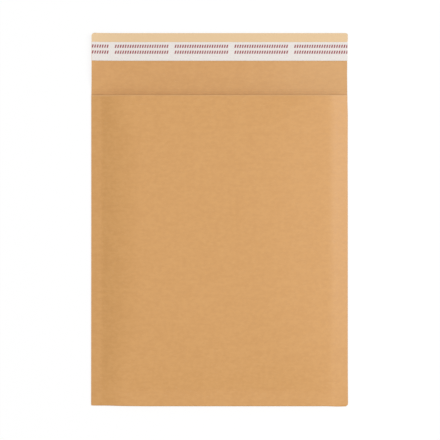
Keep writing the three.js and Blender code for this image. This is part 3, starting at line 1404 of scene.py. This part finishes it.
@dataclass
class FlapClosure:
    """The glue strip across the flap and the release liner that covers it.

    Attributes:
        form: The form of the flap.
    """

    form: EnvelopeForm

    # The glue: its thickness, the shares of it along the edges and under the crowned face, how far
    # its ends are shifted from the edges of the flap, and the step of its lines along its edges.
    glue_thick: float = 0.15 * MM
    glue_edge: float = 0.35
    glue_skin: float = 0.34
    glue_ends: Pair = (1.2 * MM, -0.8 * MM)
    glue_step: float = 0.25 * MM

    # The liner: the same, its gap to the glue and how far its free edges stand off.
    liner_thick: float = 0.1 * MM
    liner_ends: Pair = (1.0 * MM, -0.5 * MM)
    liner_step: float = 0.5 * MM
    seat: float = 0.01 * MM
    edge_lift: float = 0.1 * MM

    # Grid lines of both: close together along the edges, and wide apart between them.
    edge_zone: float = 1.0 * MM
    wide_step: float = 2.0 * MM
    across_step: float = 3.0 * MM

    def make_strip(
        self,
        name: str,
        ends: Pair,
        rows: Sequence[float],
        height: Callable[[float], float],
        finish: bpy.types.Material,
    ) -> bpy.types.Object:
        """Makes the upper face of a strip across the flap.

        Args:
            name: Name of the piece.
            ends: How far its ends are shifted from the edges of the flap.
            rows: Y of its lines.
            height: Gives the height of its upper face above the flap, by Y.
            finish: Its material.

        Returns:
            The strip, without thickness.
        """
        form = self.form
        start, end = (seam.edge() + shift for seam, shift in zip(form.seams, ends))

        def top(x: float, y: float) -> Vector:
            """A point of the strip's upper face."""
            return Vector((x, y, form.back(x, y) + form.paper + height(y)))

        columns = lines(start, (end, self.across_step))
        return make_piece(name, sheet_mesh(columns, rows, top), [finish])

    def build_glue(self) -> bpy.types.Object:
        """Builds the glue strip, which is thin along its edges.

        Returns:
            The piece.
        """
        low, high = (corner.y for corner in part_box("adhesive_strip"))
        zone, close = self.edge_zone, self.glue_step
        rows = lines(low, (low + zone, close), (high - zone, self.wide_step), (high, close))

        def height(y: float) -> float:
            """Height of the glue's upper face above the flap."""
            return self.glue_thick * mix(self.glue_edge, 1.0, crown(min(y - low, high - y), zone))

        glue = self.make_strip("glue_strip", self.glue_ends, rows, height, HOT_MELT_GLUE.material())
        thicken(glue, self.glue_thick * self.glue_skin)
        return attach(glue, "glue", "adhesive_strip")

    def build_liner(self) -> bpy.types.Object:
        """Builds the release liner, which lies on the glue and stands off along its free edges.

        Returns:
            The piece.
        """
        low, high = self.form.liner_low, self.form.liner_high
        glue_low, glue_high = (corner.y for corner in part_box("adhesive_strip"))
        zone, close = self.edge_zone, self.liner_step
        rows = lines(
            low, (glue_low + zone, close), (glue_high - zone, self.wide_step), (high, close)
        )
        base = self.glue_thick + self.seat + self.liner_thick

        def height(y: float) -> float:
            """Height of the liner's upper face above the flap."""
            past_glue = max(glue_low - y, y - glue_high, 0.0) / (glue_low - low)
            return base + self.edge_lift * past_glue ** 2

        finish = ReleasePaper(self.form).material()
        liner = self.make_strip("liner_strip", self.liner_ends, rows, height, finish)
        thicken(liner, self.liner_thick)
        return attach(liner, "liner", "release_liner")

    def build(self) -> None:
        """Builds the glue and the liner."""
        self.build_glue()
        self.build_liner()


@dataclass(frozen=True)
class SoftBox:
    """A square studio lamp.

    Attributes:
        name: Its name.
        place: Where it stands.
        size: Length of its side.
        power: Its power in watts.
    """

    name: str
    place: Triple
    size: float
    power: float

    def build(self) -> bpy.types.Object:
        """Builds the lamp, turned towards the envelope.

        Returns:
            The lamp.
        """
        data = bpy.data.lights.new(self.name, "AREA")
        data.shape = "SQUARE"
        data.size = self.size
        data.energy = self.power
        lamp = bpy.data.objects.new(self.name, data)
        lamp.location = self.place
        lamp.rotation_euler = (-Vector(self.place)).to_track_quat("-Z", "Y").to_euler()
        lamp.visible_camera = False
        bpy.context.scene.collection.objects.link(lamp)
        return lamp


@dataclass(frozen=True)
class Studio:
    """A white floor, soft light mostly from the right, and a camera that looks straight down."""

    # The camera: what it takes in on the floor, the middle of that, its height and its reach.
    picture_width: float = 412.0 * MM
    centre: Pair = (0.47 * MM, -0.38 * MM)
    camera_height: float = 1.0
    camera_reach: float = 4.0

    # The floor, just under the envelope, and the share and strength of its white glow.
    floor_size: float = 6.0
    floor_drop: float = 0.2 * MM
    floor_colour: Colour = (0.86, 0.86, 0.86, 1.0)
    backdrop_share: float = 0.8
    backdrop_glow: float = 1.05

    # The even light of the room, and the lamps.
    white: Colour = (1.0, 1.0, 1.0, 1.0)
    ambient: float = 0.50
    lamps: tuple[SoftBox, ...] = (
        SoftBox("key_right", place=(1.9, 0.35, 2.3), size=1.6, power=34.0),
        SoftBox("overhead", place=(0.15, 0.0, 1.9), size=1.6, power=8.6),
    )

    def seen_directly(self, graph: ShaderGraph) -> Socket:
        """1 where the camera, a reflection or clear film looks at a surface, and 0 for its light.

        Args:
            graph: The graph that asks.

        Returns:
            The mask.
        """
        rays = ("Is Camera Ray", "Is Glossy Ray", "Is Transmission Ray")
        camera, glossy, through = graph.outputs(graph.node("ShaderNodeLightPath"), *rays)
        return graph.math("MINIMUM", camera + glossy + through, 1.0)

    def build_floor(self) -> bpy.types.Object:
        """Builds the floor, which looks white and keeps the envelope's shadow.

        Returns:
            The floor.
        """
        graph = ShaderGraph(bpy.data.materials.new("studio_floor"))
        painted = graph.node("ShaderNodeBsdfDiffuse", inputs={"Color": self.floor_colour})
        light = {"Color": self.white, "Strength": self.backdrop_glow}
        glow = graph.node("ShaderNodeEmission", inputs=light)
        share = self.seen_directly(graph) * self.backdrop_share
        shader = graph.node("ShaderNodeMixShader", inputs={0: share, 1: painted, 2: glow})
        graph.node("ShaderNodeOutputMaterial", inputs={"Surface": shader})
        bm = bmesh.new()
        bmesh.ops.create_grid(bm, x_segments=1, y_segments=1, size=self.floor_size / 2)
        bmesh.ops.translate(bm, vec=(0, 0, -self.floor_drop), verts=bm.verts)
        floor = make_piece("studio_floor", bm, [graph.owner])
        return floor

    def build_world(self) -> None:
        """Builds the even light of the room, which the camera sees as white."""
        world = bpy.data.worlds.new("studio")
        bpy.context.scene.world = world
        graph = ShaderGraph(world)
        room, backdrop = (
            graph.node("ShaderNodeBackground", inputs={"Color": self.white, "Strength": strength})
            for strength in (self.ambient, 1.0)
        )
        parts = {0: self.seen_directly(graph), 1: room, 2: backdrop}
        shader = graph.node("ShaderNodeMixShader", inputs=parts)
        graph.node("ShaderNodeOutputWorld", inputs={"Surface": shader})

    def build_camera(self) -> bpy.types.Object:
        """Builds the camera with a long lens above the envelope.

        Returns:
            The camera.
        """
        data = bpy.data.cameras.new("camera")
        data.lens = data.sensor_width * self.camera_height / self.picture_width
        data.clip_end = self.camera_reach
        camera = bpy.data.objects.new("camera", data)
        camera.location = (*self.centre, self.camera_height)
        bpy.context.scene.collection.objects.link(camera)
        bpy.context.scene.camera = camera
        return camera

    def build(self) -> None:
        """Builds the whole studio."""
        bpy.context.scene.view_settings.view_transform = "Standard"
        self.build_camera()
        self.build_world()
        self.build_floor()
        for lamp in self.lamps:
            lamp.build()


def main() -> None:
    """Builds the studio and the envelope, and reports each piece."""
    logging.basicConfig(level=logging.INFO)
    form = EnvelopeForm.from_frame()
    Studio().build()
    KraftEnvelope(form).build()
    BubbleLining(form).build()
    FlapClosure(form).build()


if __name__ == "__main__":
    main()
